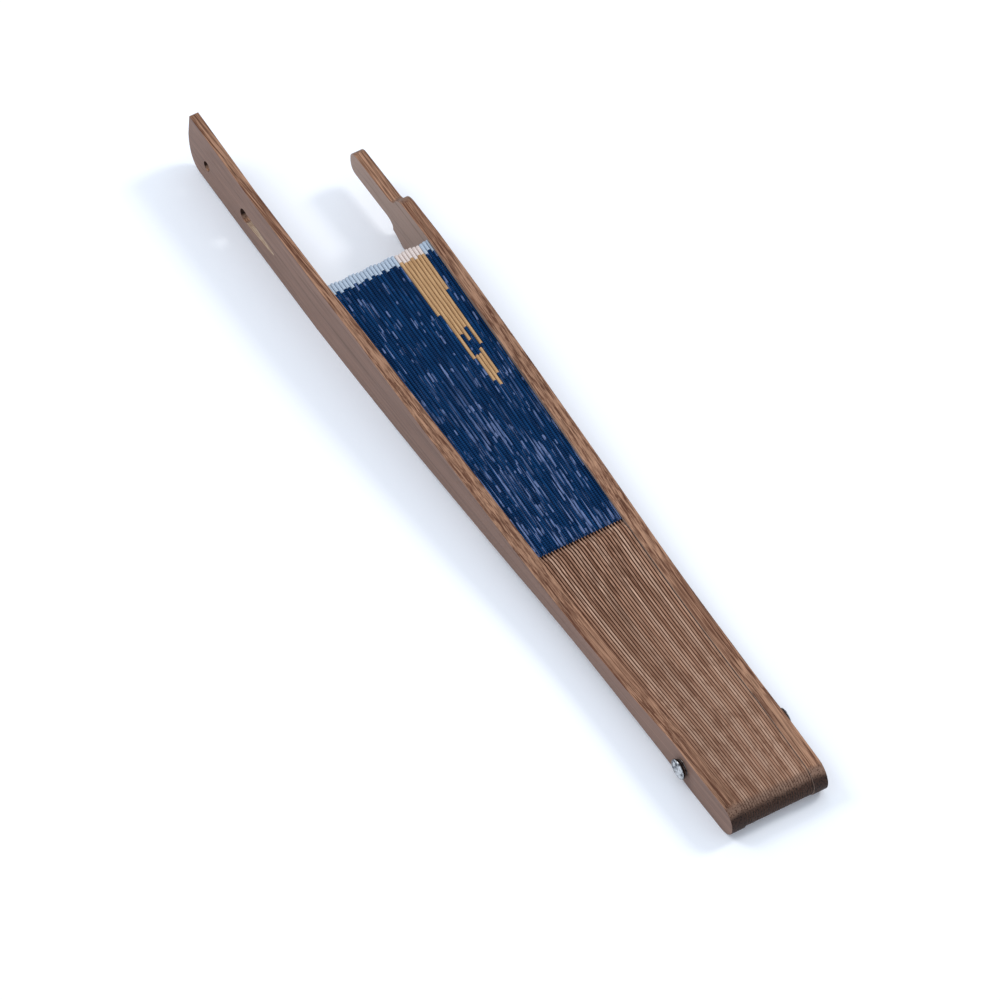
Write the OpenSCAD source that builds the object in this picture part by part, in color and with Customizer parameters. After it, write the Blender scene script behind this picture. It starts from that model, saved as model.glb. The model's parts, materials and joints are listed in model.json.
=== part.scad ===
// Folding hand fan, closed and standing on its long edges.
// Shapes are worked out about the pivot: X runs along the pivot pin, from the long guard at -X to the short
// guard at +X, Y runs from the pivot to the tips and Z is up. The whole fan is then set down on the table.

/* [Sticks] */
// Number of thin ribs between the two guards
rib_count = 28; // [20:1:28]
// Thickness of a rib from its tail to the cloth
rib_t = 0.64; // [0.5:0.01:0.64]
// Thickness of the slip that carries a rib on inside the cloth
slip_t = 0.34; // [0.25:0.01:0.36]
// Spacing of the ribs at the tail end
pitch_tail = 0.70; // [0.70:0.01:0.80]
// Spacing of the ribs at the outer edge of the cloth
pitch_top = 1.041; // [1.03:0.001:1.10]
// How far the edges of a rib stay below the edges of the guards
rib_drop = 0.25; // [0.1:0.05:0.6]

/* [Side outline] */
// Half height of every stick around the pivot, and radius of the round tail
head_h = 4.7; // [4.5:0.1:5]
// Distance from the pivot to the centre of the round tail
tail_y = 17.8; // [15:0.1:20]
// Half height at the waist
waist_h = 3.05; // [2.8:0.05:3.4]
// Distance from the pivot to the near end of the flat foot on which a guard stands
foot_y = 158; // [150:1:164]
// Half height of a guard at the near end of its foot
foot_h = 7.9; // [7.6:0.05:8.1]
// Length of the flat foot
foot_l = 12; // [6:1:16]
// Half height of the long guard at its tip
tip_h = 8.4; // [8.2:0.1:8.5]

/* [Guard faces] */
// Distance from the middle of the stack to the outer face of a guard at the pivot
pivot_face = 14.2; // [14:0.05:14.5]
// The same over the waist
waist_face = 15; // [14.8:0.05:15.2]
// The same where the cloth begins
hip_face = 16.45; // [16.2:0.05:16.6]
// The same halfway along the cloth
cloth_face = 17.3; // [17:0.05:17.5]
// The same at the outer edge of the cloth, where a guard is widest
wide_face = 17.65; // [17.5:0.05:17.8]
// The same at the tip
tip_face = 16.9; // [16.6:0.05:17.2]

/* [Cloth leaf] */
// Distance from the pivot to the inner edge of the cloth
leaf_in = 71.5; // [70:0.5:74]
// Distance from the pivot to the outer edge of the cloth
leaf_out = 170.3; // [150:0.1:171]
// Angle of the upper folds above the middle of the sticks
fold_top = 2.5; // [2:0.1:2.6]
// Angle that one panel of the cloth covers, half of what one gap opens to
panel_angle = 3; // [2.5:0.1:3]
// Thickness of the folded cloth between two slips
pleat_t = 0.24; // [0.1:0.01:0.26]

/* [Long guard] */
// Distance from the pivot to the tip
long_reach = 236.2; // [225:0.1:240]
// Distance from the pivot to the small cord hole
cord_hole_y = 226.6; // [222:0.1:228]
// Radius of the cord hole
cord_hole_r = 1.45; // [1:0.05:1.6]
// Distance from the pivot to the larger hole
eye_y = 207; // [204:0.5:210]
// Radius of the larger hole
eye_r = 2.05; // [1.5:0.05:2.2]
// Length of the cone that cuts the groove, from the larger hole towards the pivot
groove_l = 20; // [12:0.1:22]
// Largest radius of that cone
groove_r = 2.45; // [2:0.05:2.6]
// How far the axis of that cone stands off the outer face
groove_lift = 1.5; // [1:0.05:1.8]
// Distance of the cord hole below the middle line
cord_hole_low = 2.3; // [1.5:0.1:3]
// Distance of the larger hole below the middle line
eye_low = 1.65; // [1:0.05:2.5]

/* [Short guard] */
// Distance from the pivot to the end of the finger
short_reach = 208.4; // [204:0.1:212]
// Half height of the finger
finger_h = 3.5; // [3:0.1:4]
// Distance from the pivot to the step down to the finger
step_y = 186.3; // [185:0.1:188]
// How much thicker this guard is than the long one beyond the cloth
flare = 0.7; // [0:0.05:0.8]

/* [Rivet] */
// Radius of the pin
pin_r = 1.5; // [1.2:0.05:1.6]
// Radial room between the pin and every stick that turns on it
pin_play = 0.05; // [0.03:0.01:0.08]
// Radius of the two heads
head_r = 2.8; // [2.5:0.05:3.2]
// Height of the heads
crown_h = 1.6; // [1:0.1:1.7]
// How far the rounded rim of a head comes in and down
rim_r = 0.6; // [0.4:0.1:0.8]

/* [Hidden] */
last = rib_count + 1;
function numbered(name, i) = str(name, i < 10 ? "0" : "", i);
RIBS = [for (i = [1:rib_count]) numbered("rib_", i)];
PLEATS = [for (i = [1:last]) numbered("leaf_pleat_", i)];

wood = "#8a6a57";
rib_wood = "#9a7860";
cloth = "#17406f";
metal = "#b9bcc0";
smooth = 64;
steps = 8;

tail_end = -tail_y - head_h;
waist_y = 46;
rib_end = leaf_in - 1;
slip_end = leaf_out - 9;
gap = 0.06;
head_gap = 0.05;
cap_play = 0.02;
slip_half = 1.1;
slip_step = 3;
beyond = 1;
long_head_y = 205;
head_thin = 0.2;
plate_end = 240;
mid_x = flare / 2;

// Pose on the table: the round tails and the feet of the guards touch it together.
span = foot_y + tail_y;
tilt = atan(foot_h / span) - asin(head_h / norm([span, foot_h]));
wide_h = foot_h + foot_l * tan(tilt);
pivot_z = head_h + tail_y * sin(tilt);
low_y = -tail_y * cos(tilt) - head_h;
high_y = max([for (p = tip_outline()) p.x * cos(tilt) - p.y * sin(tilt)]);
mid_y = (low_y + high_y) / 2;

// Points of a curve from a to b that bends towards c.
function bend(a, c, b) = [for (i = [0:steps]) let (t = i / steps)
    (1 - t) ^ 2 * a + 2 * t * (1 - t) * c + t ^ 2 * b];
function lower(points) = [for (i = [len(points) - 1:-1:0]) [points[i].x, -points[i].y]];

// Upper edge of every stick, as [distance from the pivot, height], from the tail to the cloth.
function tail(r) = [for (a = [180:-15:90]) [r * cos(a) - tail_y, r * sin(a)]];
function neck() = bend([5, head_h], [26, waist_h], [waist_y, waist_h]);
function hip() = bend([waist_y, waist_h], [60, waist_h], [86, 4.7]);
function shoulder() = bend([134, 7.05], [146, 7.62], [foot_y, foot_h]);
function guard_edge() = concat(tail(head_h), neck(), hip(), shoulder(), [[foot_y + foot_l, wide_h]]);
function rib_edge() = concat(
    tail(head_h - rib_drop),
    [for (p = concat(neck(), hip())) if (p.x < rib_end) [p.x, p.y - rib_drop]]);

function tip_outline() = concat(
    [[long_head_y, wide_h], [long_reach - 0.6, tip_h]],
    bend([long_reach, 1], [long_reach - 0.4, -tip_h + 0.4], [long_reach - 5.7, -tip_h]),
    [[long_head_y, -wide_h]]);

// The step down from the short guard to its finger, round the finger and back along its lower side.
function finger_outline() = concat(
    bend([step_y - 4.3, wide_h], [step_y - 1.1, wide_h], [step_y, 5.6]),
    bend([step_y, 5.6], [step_y + 0.9, finger_h], [step_y + 3.2, finger_h]),
    bend([short_reach - 2.6, finger_h], [short_reach + 0.2, finger_h], [short_reach, 0.2]),
    bend([short_reach, 0.2], [short_reach - 0.2, -finger_h], [short_reach - 3, -finger_h]),
    bend([step_y + 4.2, -finger_h], [step_y + 1.3, -finger_h], [step_y + 0.7, -5.2]),
    bend([step_y + 0.7, -6], [step_y - 1.4, -6.6], [step_y - 4.1, -wide_h]));

// Places across the stack, as distances from the middle plane.
function along(y) = (y - tail_end) / (leaf_out - tail_end);
function pitch(y) = pitch_tail + (pitch_top - pitch_tail) * along(y);
inner_tail = (rib_count - 1) / 2 * pitch_tail + rib_t / 2 + gap;
inner_top = last / 2 * pitch_top - slip_t / 2;
function guard_inner(y) = inner_tail + (inner_top - inner_tail) * along(y);
function stick_x(i, y) =
    i == 0 ? guard_inner(y) + slip_t / 2 :
    i == last ? -guard_inner(y) - slip_t / 2 :
    (last / 2 - i) * pitch(y);
function pleat_x(i, y) = (stick_x(i - 1, y) + stick_x(i, y)) / 2;

module on_table() {
    translate([-mid_x, -mid_y, pivot_z]) rotate([tilt, 0, 0]) children();
}

// A 2D side outline in Y and Z as a slab across the whole stack.
module side_slab(reach = 20) {
    translate([-reach, 0, 0]) rotate([90, 0, 90]) linear_extrude(2 * reach) children();
}

// A plan outline in X and Y as an upright slab.
module plan_slab(points) {
    translate([0, 0, -10]) linear_extrude(20) polygon(points);
}

// A round hole across the whole stack, given by its place in the side view.
module cross_hole(y, z, r) {
    translate([0, y, z]) rotate([0, 90, 0]) cylinder(h = 60, r = r, center = true, $fn = smooth);
}

module pivot_bore() {
    cross_hole(0, 0, pin_r + pin_play);
}

// The plate between the inner and outer faces of a guard at +X, extra thicker beyond the cloth.
module guard_plate(extra) {
    plan_slab([
        [guard_inner(tail_end), tail_end - beyond], [guard_inner(leaf_out), leaf_out],
        [inner_top, long_head_y], [inner_top - 0.7, plate_end],
        [tip_face + extra, plate_end], [wide_face - head_thin + extra, long_head_y],
        [wide_face + extra, foot_y + foot_l], [cloth_face + extra / 4, 120],
        [hip_face, 75], [waist_face, 25],
        [pivot_face, 5], [pivot_face, -5], [pivot_face - 0.4, tail_end - beyond]]);
}

module short_guard() {
    color(wood) on_table() difference() {
        intersection() {
            guard_plate(flare);
            side_slab() polygon(concat(guard_edge(), finger_outline(), lower(guard_edge())));
        }
        pivot_bore();
    }
}

module long_guard() {
    color(wood) on_table() difference() {
        intersection() {
            mirror([1, 0, 0]) guard_plate(0);
            side_slab() polygon(concat(guard_edge(), tip_outline(), lower(guard_edge())));
        }
        pivot_bore();
        cross_hole(cord_hole_y, -cord_hole_low, cord_hole_r);
        cross_hole(eye_y, -eye_low, eye_r);
        groove();
    }
}

// Shallow tapering groove in the outer face of the long guard: the side of a cone, clear of the wood at its
// narrow end.
module groove() {
    translate([head_thin - wide_face - groove_lift, eye_y, -eye_low]) rotate([90, 0, 0])
        cylinder(h = groove_l, r1 = groove_r, r2 = groove_lift - head_thin, $fn = smooth);
}

module rib(i) {
    near = [tail_end - beyond, rib_end];
    far = [rib_end, slip_end];
    side = function(y, t) [stick_x(i, y) + t / 2, y];
    color(rib_wood) on_table() difference() {
        intersection() {
            plan_slab([
                side(near[0], -rib_t), side(near[1], -rib_t), side(far[0], -slip_t), side(far[1], -slip_t),
                side(far[1], slip_t), side(far[0], slip_t), side(near[1], rib_t), side(near[0], rib_t)]);
            side_slab() polygon(concat(rib_edge(), slip_outline(), lower(rib_edge())));
        }
        pivot_bore();
    }
}

// Narrow slip inside the cloth, halfway between its upper and lower folds.
function slip_outline() = let (mid = fold_top - panel_angle / 2, start = rib_end + slip_step) [
    [rib_end, rib_end * tan(fold_top) - 0.1],
    [start, start * tan(mid + slip_half)],
    [slip_end, slip_end * tan(mid + slip_half)],
    [slip_end, slip_end * tan(mid - slip_half)],
    [start, start * tan(mid - slip_half)],
    [rib_end, -rib_end * tan(fold_top) + 0.1]];

module leaf_pleat(i) {
    corner = function(y, s) [pleat_x(i, y) + s * pleat_t / 2, y];
    fold_low = fold_top - panel_angle;
    color(cloth) on_table() intersection() {
        plan_slab([corner(leaf_in, -1), corner(leaf_out, -1), corner(leaf_out, 1), corner(leaf_in, 1)]);
        side_slab() polygon([
            [leaf_in, leaf_in * tan(fold_top)], [leaf_out, leaf_out * tan(fold_top)],
            [leaf_out, leaf_out * tan(fold_low)], [leaf_in, leaf_in * tan(fold_low)]]);
    }
}

// Section of a head as [radius, place along X], from the middle of its crown to its seat at X = 0.
function head_side() = let (edge_x = crown_h - rim_r / 6) concat(
    [[0, crown_h]],
    bend([head_r - 2 * rim_r, edge_x], [head_r, edge_x], [head_r, edge_x - 1.4 * rim_r]),
    [[head_r - rim_r / 2, 0]]);
function moved(points, x, side) = [for (p = points) [p.x, side * (p.y + x)]];

module turned(points) {
    rotate([0, 90, 0]) rotate_extrude($fn = smooth) polygon(points);
}

module pivot_rivet() {
    head_x = pivot_face + head_gap;
    pin_end = head_x + crown_h / 2;
    color(metal) on_table() {
        turned(concat(moved(head_side(), head_x, -1), [[pin_r, -head_x], [pin_r, pin_end], [0, pin_end]]));
        turned(concat(
            moved(head_side(), head_x, 1),
            [[pin_r + cap_play, head_x], [pin_r + cap_play, pin_end + cap_play], [0, pin_end + cap_play]]));
    }
}

short_guard();
long_guard();
pivot_rivet();
for (i = [1:rib_count]) rib(i);
for (i = [1:last]) leaf_pleat(i);
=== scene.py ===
import json
import math

import bpy
import numpy as np
from mathutils import Matrix, Vector


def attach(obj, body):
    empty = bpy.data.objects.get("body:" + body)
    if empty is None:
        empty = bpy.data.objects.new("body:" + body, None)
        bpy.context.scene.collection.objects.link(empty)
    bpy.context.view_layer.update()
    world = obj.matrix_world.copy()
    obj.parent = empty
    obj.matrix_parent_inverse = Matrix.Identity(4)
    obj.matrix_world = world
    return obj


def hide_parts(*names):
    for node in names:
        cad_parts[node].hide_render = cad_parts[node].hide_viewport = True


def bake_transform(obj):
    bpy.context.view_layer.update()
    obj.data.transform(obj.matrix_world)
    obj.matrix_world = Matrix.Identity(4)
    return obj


# A closed folding hand fan on a pale table. Metres throughout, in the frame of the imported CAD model:
# X across the stack of sticks, Y from the pivot to the tips, Z up from the table.

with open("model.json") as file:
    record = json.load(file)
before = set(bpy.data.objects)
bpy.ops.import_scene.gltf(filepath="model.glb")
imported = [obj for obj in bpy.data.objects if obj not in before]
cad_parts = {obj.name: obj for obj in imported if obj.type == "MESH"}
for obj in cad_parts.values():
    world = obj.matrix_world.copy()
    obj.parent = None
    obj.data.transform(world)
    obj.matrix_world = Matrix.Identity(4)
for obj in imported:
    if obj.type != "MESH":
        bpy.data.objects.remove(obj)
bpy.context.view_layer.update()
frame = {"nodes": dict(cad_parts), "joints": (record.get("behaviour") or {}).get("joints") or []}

MM = 0.001
PIVOT = Vector(frame["joints"][0]["pos_m"])
GAP_ANGLE = math.radians(frame["joints"][0]["range_deg"][1])
TILT = math.radians(1.0426)

# Cloth leaf, in the frame of the sticks: distances from the pivot and angles above the middle of a stick.
LEAF_IN = 71.5 * MM
LEAF_OUT = 170.3 * MM
FOLD_TOP = math.radians(2.5)
PANEL = GAP_ANGLE / 2

# The cloth lies round the slip at the end of each panel, so its middle is WRAP away from the slip's middle.
SLIP_T = 0.34 * MM
CLOTH_T = 0.12 * MM
CLOTH_SKIN = 0.01 * MM
WRAP = SLIP_T / 2 + CLOTH_T / 2 + CLOTH_SKIN
BLEND_WIDTH = 0.08 * MM
FOLD_OVERHANG = 0.08 * MM

# The cloth's border, and how much its inner edge and the leaf's outer edge waver from pleat to pleat.
BORDER_DEPTH = 3.4 * MM
BORDER_WAVER = 0.5 * MM
OUTER_WAVER = 0.2 * MM

# Threads of the cloth: the lanes that its dashes keep to, and the pitch of its weft and warp.
DASH_WIDTH = 0.42 * MM
WEFT_PITCH = 0.62 * MM
WARP_PITCH = 0.24 * MM

# How finely a fold is built: steps in a quarter turn, steps up a panel and rows along the sticks.
ARC_STEPS = 6
PANEL_STEPS = 10
ROWS = 60

# The groove in the long guard: its middle from the pivot, its length, half its width, and how far out across the
# stack a cut surface can lie. The untouched face of the guard lies further out.
GROOVE_Y, GROOVE_Z = 197.8 * MM, 1.9 * MM
GROOVE_LENGTH, GROOVE_HALF_WIDTH = 19 * MM, 2.6 * MM
GROOVE_REACH = 17.40 * MM

# Ribs are painted lighter along the middle of an edge than at its two corners: a painted highlight and painted
# shade.
# Handling has evened out their colour between these two distances from the pivot.
RIB_HIGHLIGHT_CORE, RIB_SHADED_RIM = 0.15 * MM, 0.31 * MM
WORN_START, WORN_FULL = 60 * MM, 15 * MM

# Dark navy is painted on the slips' edges from this far inside the cloth: the cloth's colour, darkened as painted
# shade.
NAVY_SHADE_INSET = 0.6 * MM

# Each stick is cut from another part of the grain: its shift for each metre of its place across the stack.
GRAIN_SHIFT = 31.7

# Rivet: the pressed heads, and the pin, which runs a little way into them.
HEAD_HEIGHT = 1.6 * MM
HEAD_PETALS = 6
HEAD_SPOKES = 96
CROWN_RINGS = 16
PIN_R = 1.5 * MM
PIN_SPOKES = 32
PIN_INTO_HEAD = 0.02 * MM

# Rounded edges of the sticks.
GUARD_BEVEL = 0.35 * MM
RIB_BEVEL = 0.11 * MM

RIBS = sorted(n for n in frame["nodes"] if n.startswith("rib_"))
PLEATS = sorted(n for n in frame["nodes"] if n.startswith("leaf_pleat_"))

# Light and dark fibres of the ribs, as screen values. The ribs take turns with them.
RIB_TONES = (
    ((172, 136, 114), (120, 85, 65)), ((158, 120, 98), (108, 73, 54)),
    ((182, 149, 128), (130, 95, 75)), ((148, 110, 89), (101, 68, 52)))

# Gold patch of the cloth: for each pleat, counted from the short guard, how far it runs in from the outer edge,
# and where a second stretch of it starts and ends. Millimetres.
GOLD = {
    4: (16.0, 0, 0), 5: (34.8, 0, 0), 6: (28.4, 36.0, 44.8), 7: (32.5, 37.5, 48.4),
    8: (30.0, 37.5, 46.5), 9: (38.3, 0, 0), 10: (22.2, 0, 0)}


# ---------------------------------------------------------------- places

def to_row(points):
    """Points of the sticks' own frame, about the pivot, as points of the row frame."""
    turn = Matrix.Rotation(TILT, 3, "X")
    return np.asarray(points) @ np.array(turn).T + np.array(PIVOT)


def to_stick(points):
    """Points of the row frame as points of the sticks' own frame, about the pivot."""
    turn = Matrix.Rotation(-TILT, 3, "X")
    return (np.asarray(points) - np.array(PIVOT)) @ np.array(turn).T


def middle_line(node):
    """A thin plate's middle plane as (place across the stack at the pivot, change per metre outwards)."""
    co = to_stick([v.co for v in frame["nodes"][node].data.vertices])
    near, far = co[:, 1].min(), co[:, 1].max()
    ends = [co[np.abs(co[:, 1] - y) < 0.05 * MM][:, 0] for y in (near, far)]
    x_near, x_far = [(e.min() + e.max()) / 2 for e in ends]
    slope = (x_far - x_near) / (far - near)
    return np.array([x_near - slope * near, slope])


def stick_lines():
    """The middle planes of all sticks in the cloth, from the short guard to the long one."""
    ribs = [middle_line(n) for n in RIBS]
    first = 2 * middle_line(PLEATS[0]) - ribs[0]
    last = 2 * middle_line(PLEATS[-1]) - ribs[-1]
    return [first] + ribs + [last]


# ---------------------------------------------------------------- material graphs

def srgb(r, g, b):
    """A colour given as 0 to 255 screen values, as linear RGBA."""
    linear = [c / 12.92 if c <= 0.04045 else ((c + 0.055) / 1.055) ** 2.4 for c in (r / 255, g / 255, b / 255)]
    return (*linear, 1.0)


def toned(colour, factor):
    """A linear colour made darker or lighter."""
    return tuple(factor * c for c in colour[:3]) + (1,)


class Graph:
    """A Principled material and short calls for the nodes that feed it. Scales are counts per metre."""

    def __init__(self, name, roughness=0.5):
        self.material = bpy.data.materials.new(name)
        self.material.use_nodes = True
        self.tree = self.material.node_tree
        self.tree.nodes.clear()
        out = self.tree.nodes.new("ShaderNodeOutputMaterial")
        self.shader = self.tree.nodes.new("ShaderNodeBsdfPrincipled")
        self.shader.inputs["Roughness"].default_value = roughness
        self.tree.links.new(self.shader.outputs["BSDF"], out.inputs["Surface"])

    def put(self, socket, value):
        if isinstance(value, bpy.types.NodeSocket):
            self.tree.links.new(value, socket)
        else:
            socket.default_value = value

    def node(self, kind, sockets=(), **settings):
        made = self.tree.nodes.new(kind)
        for key, value in settings.items():
            setattr(made, key, value)
        for key, value in dict(sockets).items():
            self.put(made.inputs[key], value)
        return made

    def place(self):
        return self.node("ShaderNodeTexCoord").outputs["Object"]

    def normal(self):
        return self.node("ShaderNodeTexCoord").outputs["Normal"]

    def parts(self, vector):
        return self.node("ShaderNodeSeparateXYZ", {"Vector": vector}).outputs

    def vector(self, x, y, z=0.0):
        return self.node("ShaderNodeCombineXYZ", {"X": x, "Y": y, "Z": z}).outputs["Vector"]

    def facing(self, axis):
        """How far the surface faces along an axis, from 0 to 1."""
        return self.absolute(self.parts(self.normal())[axis])

    def scaled(self, vector, x, y, z):
        return self.node("ShaderNodeMapping", {"Vector": vector, "Scale": (x, y, z)}).outputs["Vector"]

    def math(self, operation, a, b=0.0):
        return self.node("ShaderNodeMath", {0: a, 1: b}, operation=operation).outputs[0]

    def plus(self, a, b):
        return self.math("ADD", a, b)

    def minus(self, a, b):
        return self.math("SUBTRACT", a, b)

    def times(self, a, b):
        return self.math("MULTIPLY", a, b)

    def absolute(self, a):
        return self.math("ABSOLUTE", a)

    def above(self, a, b):
        return self.math("GREATER_THAN", a, b)

    def below(self, a, b):
        return self.math("LESS_THAN", a, b)

    def all_of(self, first, *others):
        """1 where every given test is 1, and 0 elsewhere."""
        for test in others:
            first = self.times(first, test)
        return first

    def wave(self, value, pitch):
        return self.math("SINE", self.times(value, 2 * math.pi / pitch))

    def noise(self, vector, scale=1.0, detail=2.0, roughness=0.5):
        sockets = {"Vector": vector, "Scale": scale, "Detail": detail, "Roughness": roughness}
        return self.node("ShaderNodeTexNoise", sockets).outputs["Fac"]

    def cells(self, vector):
        return self.node("ShaderNodeTexVoronoi", {"Vector": vector, "Scale": 1.0}).outputs["Distance"]

    def step(self, value, low, high):
        """0 at low, 1 at high and smooth between them. Low may be the larger of the two."""
        sockets = {"Value": value, "From Min": low, "From Max": high}
        return self.node("ShaderNodeMapRange", sockets, interpolation_type="SMOOTHSTEP").outputs["Result"]

    def mix(self, share, a, b, blend_type="MIX"):
        made = self.node("ShaderNodeMix", data_type="RGBA", blend_type=blend_type)
        self.put(made.inputs["Factor"], share)
        self.put(made.inputs[6], a)
        self.put(made.inputs[7], b)
        return made.outputs[2]

    def shaded(self, colour, shade):
        """A colour multiplied by a factor that changes over the surface."""
        channels = {"Red": shade, "Green": shade, "Blue": shade}
        tone = self.node("ShaderNodeCombineColor", channels).outputs["Color"]
        return self.mix(1.0, colour, tone, "MULTIPLY")

    def attribute(self, name):
        return self.node("ShaderNodeAttribute", attribute_name=name).outputs["Fac"]

    def bump(self, height, strength, distance):
        made = self.node("ShaderNodeBump", {"Height": height, "Strength": strength, "Distance": distance})
        self.put(self.shader.inputs["Normal"], made.outputs["Normal"])


# ---------------------------------------------------------------- materials

def groove_floor(g, spot, face_x, is_outer):
    """1 on the cut surface of the groove in the long guard, and 0 elsewhere."""
    along = g.absolute(g.minus(spot["Y"], PIVOT.y + GROOVE_Y))
    up = g.absolute(g.minus(spot["Z"], PIVOT.z + GROOVE_Z))
    return g.all_of(
        g.below(along, GROOVE_LENGTH / 2), g.below(up, GROOVE_HALF_WIDTH), is_outer,
        g.above(spot["X"], PIVOT.x - GROOVE_REACH), g.below(spot["X"], PIVOT.x), g.above(face_x, 0.3))


def bamboo(name, light, dark, outer, inner, figure, line):
    """Steamed bamboo: fibre bundles run along the stick, whose middle plane is line, so they show as long streaks
    and as dashes where an edge slopes across them. The broad faces are smooth and greyer and the end grain is dark
    and dotted. A figure above 0 makes it a rib, with worn wood near the tail, painted shade at the corners of its
    edges and, in the cloth, edges painted dark navy, the cloth's colour darkened as painted shade."""
    g = Graph(name)
    place = g.place()
    spot = g.parts(place)
    face_x, face_y = g.facing("X"), g.facing("Y")

    lean = g.times(g.minus(spot["Y"], PIVOT.y), line[1])
    off_middle = g.minus(g.minus(spot["X"], PIVOT.x + line[0]), lean)
    own_x = g.plus(off_middle, GRAIN_SHIFT * line[0])
    grain = g.vector(own_x, spot["Y"], spot["Z"])

    bands = g.noise(g.scaled(grain, 1500, 4, 1500), detail=4, roughness=0.7)
    bundles = g.step(g.cells(g.scaled(grain, 2100, 14, 2100)), 0.50, 0.22)
    hairs = g.noise(g.scaled(grain, 5200, 40, 5200), detail=3)
    dashes = g.noise(g.scaled(grain, 2600, 150, 2600), detail=2, roughness=0.6)
    mottle = g.noise(g.scaled(place, 600, 190, 600), detail=3, roughness=0.6)

    deep, pale = toned(dark, 0.55), toned(light, 1.45)
    wood = g.mix(g.step(bands, 0.40, 0.60), dark, light)
    wood = g.mix(g.times(bundles, 0.55), wood, deep)
    wood = g.mix(g.times(g.step(hairs, 0.52, 0.66), 0.55), wood, pale)
    wood = g.mix(g.times(g.step(dashes, 0.54, 0.64), 0.22), wood, deep)
    wood = g.mix(g.times(g.step(dashes, 0.46, 0.36), 0.22), wood, pale)
    if figure:
        near_tail = g.step(spot["Y"], PIVOT.y + WORN_START, PIVOT.y + WORN_FULL)
        worn_wood = tuple(0.72 * a + 0.28 * b for a, b in zip(light, dark))
        wood = g.mix(g.times(near_tail, figure * 1.2), wood, worn_wood)
        whorls = g.times(g.step(mottle, 0.46, 0.60), g.times(near_tail, figure))
        wood = g.mix(whorls, wood, dark)
        # Painted shade towards the corners of each rib's edge, which leaves a painted highlight along its middle;
        # weaker near the tail.
        rim = g.step(g.absolute(off_middle), RIB_HIGHLIGHT_CORE, RIB_SHADED_RIM)
        wood = g.mix(g.times(rim, g.minus(0.62, g.times(near_tail, 0.47))), wood, deep)

    # The rind: an orange-brown line where the outer face turns into the edges.
    outwards = g.times(g.parts(g.normal())["X"], g.minus(spot["X"], PIVOT.x))
    is_outer = g.above(outwards, 0.0)
    corner = g.times(g.step(face_x, 0.12, 0.40), g.minus(1.0, g.step(face_x, 0.80, 0.97)))
    wood = g.mix(g.times(g.times(corner, is_outer), 0.7), wood, srgb(84, 44, 26))

    skin = g.mix(is_outer, inner, outer)
    skin_line = g.noise(g.scaled(grain, 1100, 9, 1100), detail=5, roughness=0.7)
    skin = g.mix(g.times(g.step(skin_line, 0.50, 0.68), 0.65), skin, toned(outer, 0.55))
    skin = g.mix(g.times(g.step(skin_line, 0.50, 0.34), 0.45), skin, toned(outer, 1.40))
    colour = g.mix(g.step(face_x, 0.72, 0.95), wood, skin)

    # The cut groove below the larger hole is coloured a pale tan.
    groove_tan = g.mix(g.step(hairs, 0.4, 0.6), srgb(172, 150, 128), srgb(140, 114, 92))
    colour = g.mix(groove_floor(g, spot, face_x, is_outer), colour, groove_tan)

    # Along the cloth the edges of the slips are painted dark navy: the cloth's colour, darkened as painted shade
    # in the valleys between the folds.
    if figure:
        in_cloth = g.above(spot["Y"], PIVOT.y + LEAF_IN + NAVY_SHADE_INSET)
        colour = g.mix(g.all_of(in_cloth, g.below(face_x, 0.6)), colour, srgb(8, 18, 40))

    dots = g.step(g.cells(g.scaled(place, 2100, 2100, 2100)), 0.20, 0.55)
    crest = g.mix(dots, srgb(72, 50, 40), srgb(122, 97, 83))
    end = g.mix(dots, srgb(22, 13, 10), srgb(56, 38, 30))
    colour = g.mix(g.times(g.step(face_y, 0.05, 0.50), 0.85), colour, crest)
    colour = g.mix(g.step(face_y, 0.58, 0.86), colour, end)
    shade = g.plus(g.times(g.noise(g.scaled(place, 70, 16, 70), detail=2), 0.5), 0.76)
    g.put(g.shader.inputs["Base Color"], g.shaded(colour, shade))
    g.put(g.shader.inputs["Roughness"], g.plus(g.times(hairs, 0.25), 0.42))
    g.shader.inputs["Specular IOR Level"].default_value = 0.14
    g.bump(g.plus(g.times(bundles, -0.6), hairs), 0.35, 0.06 * MM)
    return g.material


def thread_dashes(g, across, inward, length, level):
    """Threads along the folds that are dyed in stretches of about this length."""
    lane = g.math("FLOOR", g.math("DIVIDE", across, DASH_WIDTH))
    along = g.scaled(g.vector(lane, inward), 13.7, 1 / length, 1)
    return g.step(g.noise(along, detail=1), level, level + 0.03)


def lavender(g, across, inward, flat):
    """How strongly the cloth is dyed lavender: short dashes all over, and long ones towards its inner edge."""
    patches = g.noise(g.scaled(flat, 60, 42, 1), detail=2)
    deep = g.step(inward, 30 * MM, 75 * MM)
    short = g.times(thread_dashes(g, across, inward, 6 * MM, 0.605), g.step(patches, 0.36, 0.50))
    long = g.times(thread_dashes(g, across, inward, 17 * MM, 0.565), g.times(deep, g.step(patches, 0.34, 0.46)))
    worn = g.noise(g.scaled(flat, 3500, 500, 1), detail=2)
    return g.times(g.math("MAXIMUM", short, long), g.plus(0.45, g.times(g.step(worn, 0.34, 0.54), 0.55)))


def gold_patch(g, inward, flat):
    """1 where a pleat is gold, with ragged ends, and 0 elsewhere."""
    ragged = g.times(g.minus(g.noise(g.scaled(flat, 2500, 500, 1)), 0.5), 0.6 * MM)
    edge = g.plus(inward, ragged)
    first = g.below(edge, g.attribute("gold_end"))
    second = g.all_of(g.above(edge, g.attribute("gold_again")), g.below(edge, g.attribute("gold_last")))
    return g.math("MAXIMUM", first, second)


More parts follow.
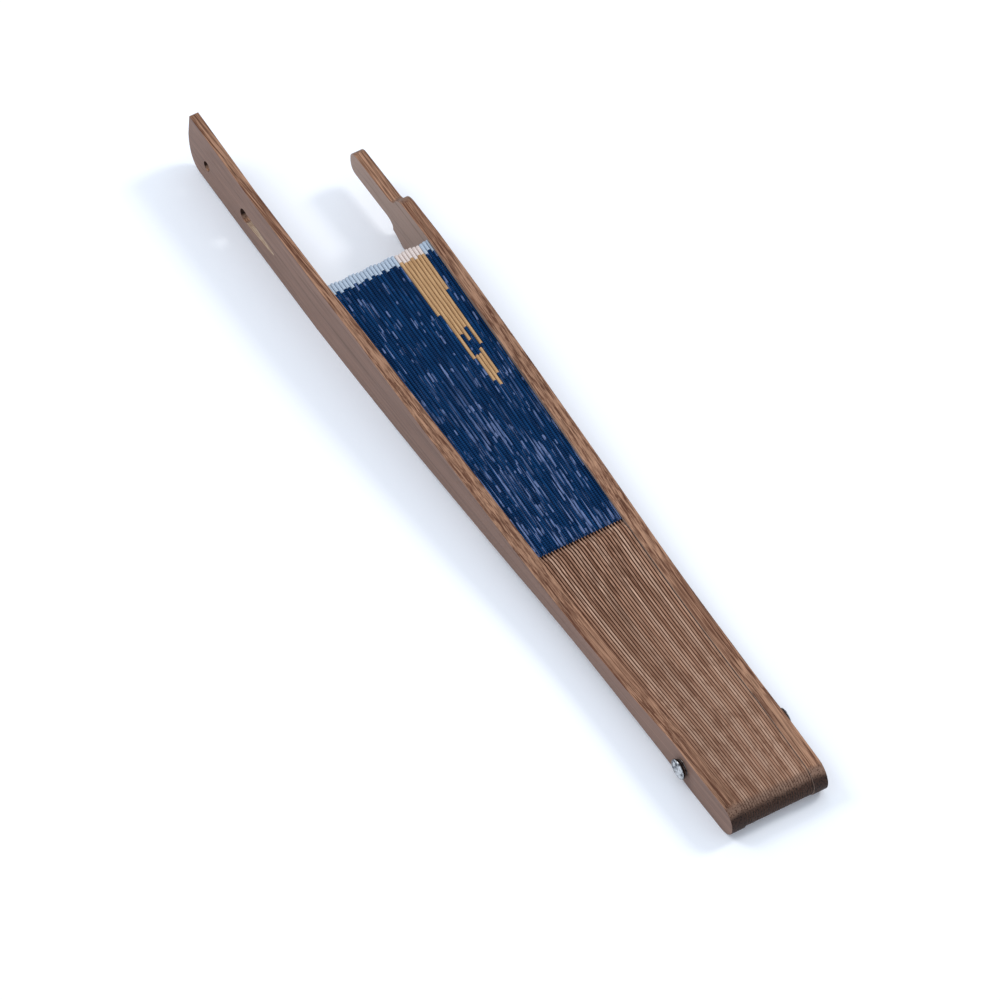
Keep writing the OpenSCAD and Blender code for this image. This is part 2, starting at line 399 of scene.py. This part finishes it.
def cloth():
    """Navy cloth with lavender dashes along the folds, a pale outer border and a gold patch."""
    g = Graph("woven_cloth", roughness=0.9)
    across = g.attribute("cloth_across")
    inward = g.attribute("cloth_inward")
    flat = g.vector(across, inward)
    weft = g.wave(inward, WEFT_PITCH)
    warp = g.wave(across, WARP_PITCH)

    thread = g.plus(g.noise(g.scaled(flat, 1500, 90, 1), detail=2), g.times(weft, 0.16))
    blue = g.mix(g.step(thread, 0.26, 0.74), srgb(4, 28, 60), srgb(14, 60, 106))
    blue = g.mix(g.times(lavender(g, across, inward, flat), 0.85), blue, srgb(112, 130, 172))

    gold_thread = g.noise(g.scaled(flat, 3000, 160, 1), detail=2)
    gold = g.mix(g.step(gold_thread, 0.3, 0.75), srgb(200, 162, 120), srgb(172, 134, 96))
    colour = g.mix(gold_patch(g, inward, flat), blue, gold)

    border = g.below(inward, g.attribute("border_end"))
    pale = g.mix(g.attribute("gold_end_share"), srgb(178, 192, 208), srgb(222, 208, 202))
    colour = g.mix(border, colour, pale)

    shade = g.plus(g.times(weft, 0.06), 0.94)
    g.put(g.shader.inputs["Base Color"], g.shaded(colour, shade))
    g.shader.inputs["Specular IOR Level"].default_value = 0.08
    g.bump(g.times(warp, weft), 0.5, 0.05 * MM)
    return g.material


def metal():
    """Bright crimped metal with dark patches painted in as reflections, and painted shade where it turns away from
    the ends of the pin.
    """
    g = Graph("rivet_metal")
    g.shader.inputs["Metallic"].default_value = 1.0
    # Dark patches painted in as reflections on the metal; the same patches vary its roughness.
    reflection_patches = g.noise(g.place(), scale=900, detail=4)
    metal_with_painted_reflections = g.mix(g.step(reflection_patches, 0.44, 0.62), srgb(206, 208, 210), srgb(84, 86, 92))
    # Painted shade where the head's sides turn away from the ends of the pin.
    painted_side_shade = g.step(g.facing("X"), 0.55, 0.25)
    g.put(g.shader.inputs["Base Color"], g.mix(painted_side_shade, metal_with_painted_reflections, srgb(58, 50, 48)))
    g.put(g.shader.inputs["Roughness"], g.plus(g.times(reflection_patches, 0.3), 0.12))
    g.bump(g.noise(g.place(), scale=1400, detail=3), 0.5, 0.08 * MM)
    return g.material


def paper_white():
    """The table top: white and faintly lit by itself, so that shadows on it stay pale."""
    g = Graph("table_white", roughness=0.9)
    g.shader.inputs["Base Color"].default_value = srgb(244, 247, 252)
    g.shader.inputs["Specular IOR Level"].default_value = 0.1
    g.shader.inputs["Emission Color"].default_value = (0.72, 0.84, 1.0, 1)
    g.shader.inputs["Emission Strength"].default_value = 0.06
    return g.material


# ---------------------------------------------------------------- pieces

def link(name, verts, faces, material, smooth=True):
    """A mesh object of one material, put into the scene."""
    mesh = bpy.data.meshes.new(name)
    mesh.from_pydata([tuple(v) for v in verts], [], faces)
    mesh.materials.append(material)
    mesh.polygons.foreach_set("use_smooth", [smooth] * len(mesh.polygons))
    mesh.update()
    piece = bpy.data.objects.new(name, mesh)
    bpy.context.scene.collection.objects.link(piece)
    return piece


def soften(node, material, width, segments):
    """Gives a CAD node its material and fine rounded edges."""
    piece = frame["nodes"][node]
    piece.data.materials.clear()
    piece.data.materials.append(material)
    weld = piece.modifiers.new("weld", "WELD")
    weld.merge_threshold = 0.001 * MM
    bevel = piece.modifiers.new("rounded edges", "BEVEL")
    bevel.width = width
    bevel.segments = segments
    bevel.limit_method = "ANGLE"
    bevel.angle_limit = math.radians(35)
    bevel.harden_normals = False
    piece.data.polygons.foreach_set("use_smooth", [True] * len(piece.data.polygons))
    normals = piece.modifiers.new("even shading", "WEIGHTED_NORMAL")
    normals.keep_sharp = True


def share_to_t(w):
    return 0.5 - math.sin(math.asin(1 - 2 * w) / 3)


def fold_outline(side_a, side_b, r, first, last):
    """One pleat's section at distance r from the pivot, as (across the stack, angle).

    It runs from under the stick at side_a, up that stick's face and out over its top edge, over the fold and down
    to under the stick at side_b. The first and last pleats stop at the guards' inner faces instead.
    """
    low, high = FOLD_TOP - PANEL, FOLD_TOP
    up_x, down_x = side_a - WRAP, side_b + WRAP
    over_x = up_x if first else side_a + FOLD_OVERHANG
    top_x = down_x + BLEND_WIDTH
    fold_r = (over_x - top_x) / 2
    points = []
    if not first:
        for i in range(ARC_STEPS):
            a = math.pi / 2 * i / ARC_STEPS
            points.append((side_a - WRAP * math.sin(a), low + WRAP * (1 - math.cos(a)) / r))
    bottom, shoulder = low + WRAP / r, high - fold_r / r
    for i in range(PANEL_STEPS):
        points.append((up_x, bottom + (shoulder - bottom) * i / PANEL_STEPS))
    if not first:
        points += [(up_x + (over_x - up_x) * share, shoulder) for share in (0.0, 0.5)]
    for i in range(2 * ARC_STEPS):
        a = math.pi * i / (2 * ARC_STEPS)
        points.append((over_x - fold_r * (1 - math.cos(a)), shoulder + fold_r * math.sin(a) / r))
    for i in range(PANEL_STEPS + 1):
        share = i / PANEL_STEPS
        points.append((top_x - BLEND_WIDTH * share_to_t(share), shoulder + (bottom - shoulder) * share))
    if not last:
        for i in range(1, ARC_STEPS + 1):
            a = math.pi / 2 * i / ARC_STEPS
            points.append((side_b + WRAP * math.cos(a), bottom - WRAP * math.sin(a) / r))
    return points


def fold_mesh(i, line_a, line_b):
    """Points and faces of one pleat, and each point's place across the cloth and in from its outer edge."""
    verts, across, inward = [], [], []
    outer = LEAF_OUT - OUTER_WAVER * (1 + math.sin(5.1 * i))
    for row in range(ROWS + 1):
        r = LEAF_IN + (outer - LEAF_IN) * row / ROWS
        side_a, side_b = line_a[0] + line_a[1] * r, line_b[0] + line_b[1] * r
        section = fold_outline(side_a, side_b, r, first=i == 1, last=i == len(PLEATS))
        run = 0.0
        for k, (x, angle) in enumerate(section):
            if k:
                run += math.hypot(x - section[k - 1][0], (angle - section[k - 1][1]) * r)
            verts.append((x, r * math.cos(angle), r * math.sin(angle)))
            across.append(run + i * 2 * PANEL * LEAF_OUT)
            inward.append(LEAF_OUT - r)
    n = len(section)
    faces = [(a * n + b, a * n + b + 1, (a + 1) * n + b + 1, (a + 1) * n + b)
             for a in range(ROWS) for b in range(n - 1)]
    return verts, faces, across, inward


def pattern(piece, i, across, inward):
    """Stores what the cloth material needs to know about each point of a pleat."""
    values = {"cloth_across": across, "cloth_inward": inward}
    values["border_end"] = BORDER_DEPTH + BORDER_WAVER * math.sin(2.4 * i)
    values["gold_end"], values["gold_again"], values["gold_last"] = [g * MM for g in GOLD.get(i, (0, 0, 0))]
    values["gold_end_share"] = 1.0 if i in GOLD else 0.0
    for key, value in values.items():
        layer = piece.data.attributes.new(key, "FLOAT", "POINT")
        layer.data.foreach_set("value", value if isinstance(value, list) else [value] * len(across))


def pleat(i, lines, material):
    """One fold of the leaf between stick i - 1 and stick i."""
    line_a, line_b = lines[i - 1], lines[i]
    verts, faces, across, inward = fold_mesh(i, line_a, line_b)
    piece = link(f"cloth_fold_{i:02d}", to_row(verts), faces, material)
    pattern(piece, i, across, inward)

    # Two points square to the stick at side_b, just outside the cloth on it. Nothing uses them.
    square = math.hypot(1.0, line_b[1])
    middle = np.array([line_b[0] + line_b[1] * LEAF_IN, LEAF_IN, 0.0])
    across_stick = np.array([1.0, -line_b[1], 0.0]) / square
    start = middle + across_stick * (WRAP + BLEND_WIDTH) / square
    end = middle + across_stick * WRAP / square
    start, end = to_row([start, end])
    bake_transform(piece)
    solid = piece.modifiers.new("cloth thickness", "SOLIDIFY")
    solid.thickness = CLOTH_T
    solid.offset = 0.0
    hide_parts(PLEATS[i - 1])


def crown_level(s, a):
    """Height of a head's crown as a share: s is the distance from its middle as a share, a the angle round it."""
    notch = (0.5 - 0.5 * math.cos(HEAD_PETALS * a)) ** 2
    level = 1.0 - 0.30 * notch * math.exp(-((s - 0.62) / 0.26) ** 2) - 0.40 * math.exp(-(s / 0.24) ** 2)
    return level - 0.04 * s ** 4


def crimped_head(height, radius):
    """A pressed rivet head with a ring of petals round a small hollow, seated on X = 0 and facing +X.

    Rings of points run from the middle of the crown, over the rim and down the undercut side. Each ring is
    (distance from the axis, level as a share of the height), and the crown's own formula gives the level if None.
    """
    crown_r = radius - 0.35 * MM
    rings = [(crown_r * (0.04 + 0.96 * i / CROWN_RINGS), None) for i in range(CROWN_RINGS + 1)]
    rings += [(radius - 0.1 * MM, 0.90), (radius, 0.76), (radius, 0.60), (radius - 0.25 * MM, 0.30),
              (radius - 0.55 * MM, 0.0)]
    verts, faces = [], []
    for r, level in rings:
        for spoke in range(HEAD_SPOKES):
            a = 2 * math.pi * spoke / HEAD_SPOKES
            x = crown_level(r / crown_r, a) if level is None else level
            verts.append((x * height, r * math.cos(a), r * math.sin(a)))
    for ring in range(len(rings) - 1):
        for spoke in range(HEAD_SPOKES):
            nxt = (spoke + 1) % HEAD_SPOKES
            near, far = ring * HEAD_SPOKES, (ring + 1) * HEAD_SPOKES
            faces.append((near + spoke, far + spoke, far + nxt, near + nxt))
    faces.append(tuple(reversed(range(HEAD_SPOKES))))
    faces.append(tuple((len(rings) - 1) * HEAD_SPOKES + k for k in range(HEAD_SPOKES)))
    return verts, faces


def rivet(material):
    """The pin with its two crimped heads, in place of the CAD rivet."""
    co = to_stick([v.co for v in frame["nodes"]["pivot_rivet"].data.vertices])
    radius, reach = co[:, 1].max(), co[:, 0].max()
    seat = reach - HEAD_HEIGHT
    verts, faces = [], []
    head, head_faces = crimped_head(HEAD_HEIGHT, radius)
    for side in (1, -1):
        start = len(verts)
        verts += [(side * (x + seat), y, z) for x, y, z in head]
        faces += [tuple(start + k for k in (f if side > 0 else reversed(f))) for f in head_faces]
    start = len(verts)
    for side in (1, -1):
        for spoke in range(PIN_SPOKES):
            a = 2 * math.pi * spoke / PIN_SPOKES
            verts.append((side * (seat + PIN_INTO_HEAD), PIN_R * math.cos(a), PIN_R * math.sin(a)))
    for spoke in range(PIN_SPOKES):
        nxt = (spoke + 1) % PIN_SPOKES
        faces.append((start + spoke, start + nxt, start + PIN_SPOKES + nxt, start + PIN_SPOKES + spoke))
    faces.append(tuple(start + k for k in reversed(range(PIN_SPOKES))))
    faces.append(tuple(start + PIN_SPOKES + k for k in range(PIN_SPOKES)))
    piece = link("rivet_with_crimped_heads", to_row(verts), faces, material)
    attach(piece, "short_guard")
    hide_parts("pivot_rivet")


# ---------------------------------------------------------------- stage

def camera(azimuth, elevation, roll, distance, lens, aim):
    """A long lens, in millimetres, that looks at aim, given from the pivot, with the view angles in degrees."""
    a, e, r = (math.radians(v) for v in (azimuth, elevation, roll))
    back = Vector((math.sin(a) * math.cos(e), -math.cos(a) * math.cos(e), math.sin(e)))
    right = Vector((math.cos(a), math.sin(a), 0))
    up = back.cross(right)
    turned = right * math.cos(r) + up * math.sin(r)
    data = bpy.data.cameras.new("camera")
    data.sensor_width = 36
    data.lens = lens
    data.clip_end = 20
    eye = bpy.data.objects.new("camera", data)
    matrix = Matrix((turned, back.cross(turned), back)).transposed().to_4x4()
    matrix.translation = PIVOT + Vector(aim) + back * distance
    eye.matrix_world = matrix
    bpy.context.scene.collection.objects.link(eye)
    bpy.context.scene.camera = eye


def soft_light(name, place, size, power, colour):
    """A round area light that shines at the middle of the table."""
    data = bpy.data.lights.new(name, "AREA")
    data.shape = "DISK"
    data.size = size
    data.energy = power
    data.color = colour
    lamp = bpy.data.objects.new(name, data)
    lamp.location = place
    lamp.rotation_euler = (-Vector(place)).to_track_quat("-Z", "Y").to_euler()
    bpy.context.scene.collection.objects.link(lamp)


def stage():
    """A pale table, an even pale sky and two soft lights."""
    half = 3.0
    corners = [(-half, -half, 0), (half, -half, 0), (half, half, 0), (-half, half, 0)]
    floor = link("floor", corners, [(0, 1, 2, 3)], paper_white(), smooth=False)
    world = bpy.data.worlds.new("studio")
    bpy.context.scene.world = world
    world.use_nodes = True
    world.node_tree.nodes["Background"].inputs["Color"].default_value = (0.86, 0.92, 1.0, 1)
    world.node_tree.nodes["Background"].inputs["Strength"].default_value = 0.88
    soft_light("key", place=(1.5, -0.05, 1.4), size=0.55, power=13, colour=(1.0, 0.985, 0.96))
    soft_light("fill", place=(-0.95, 1.1, 1.5), size=0.8, power=10, colour=(1.0, 0.99, 0.98))
    bpy.context.scene.view_settings.view_transform = "Standard"


# ---------------------------------------------------------------- build

camera(azimuth=-31.54, elevation=50.92, roll=0.47, distance=2.547, lens=366.516, aim=(-0.0075, 0.0972, -0.0032))
planes = stick_lines()
for guard, plane in (("short_guard", planes[0]), ("long_guard", planes[-1])):
    guard_wood = bamboo(
        f"{guard}_bamboo", light=srgb(158, 121, 97), dark=srgb(90, 56, 40), outer=srgb(127, 101, 89),
        inner=srgb(158, 136, 124), figure=0.0, line=plane)
    soften(guard, guard_wood, width=GUARD_BEVEL, segments=3)
for number, rib in enumerate(RIBS):
    rib_light, rib_dark = RIB_TONES[number * number % 7 % 4]
    # The ribs' broad faces are a dark brown, painted shade for the narrow gaps between the ribs.
    rib_wood = bamboo(
        f"{rib}_bamboo", light=srgb(*rib_light), dark=srgb(*rib_dark), outer=srgb(104, 66, 46),
        inner=srgb(104, 66, 46), figure=0.6, line=planes[number + 1])
    soften(rib, rib_wood, width=RIB_BEVEL, segments=2)
leaf_cloth = cloth()
for number in range(1, len(PLEATS) + 1):
    pleat(number, planes, leaf_cloth)
rivet(metal())
stage()
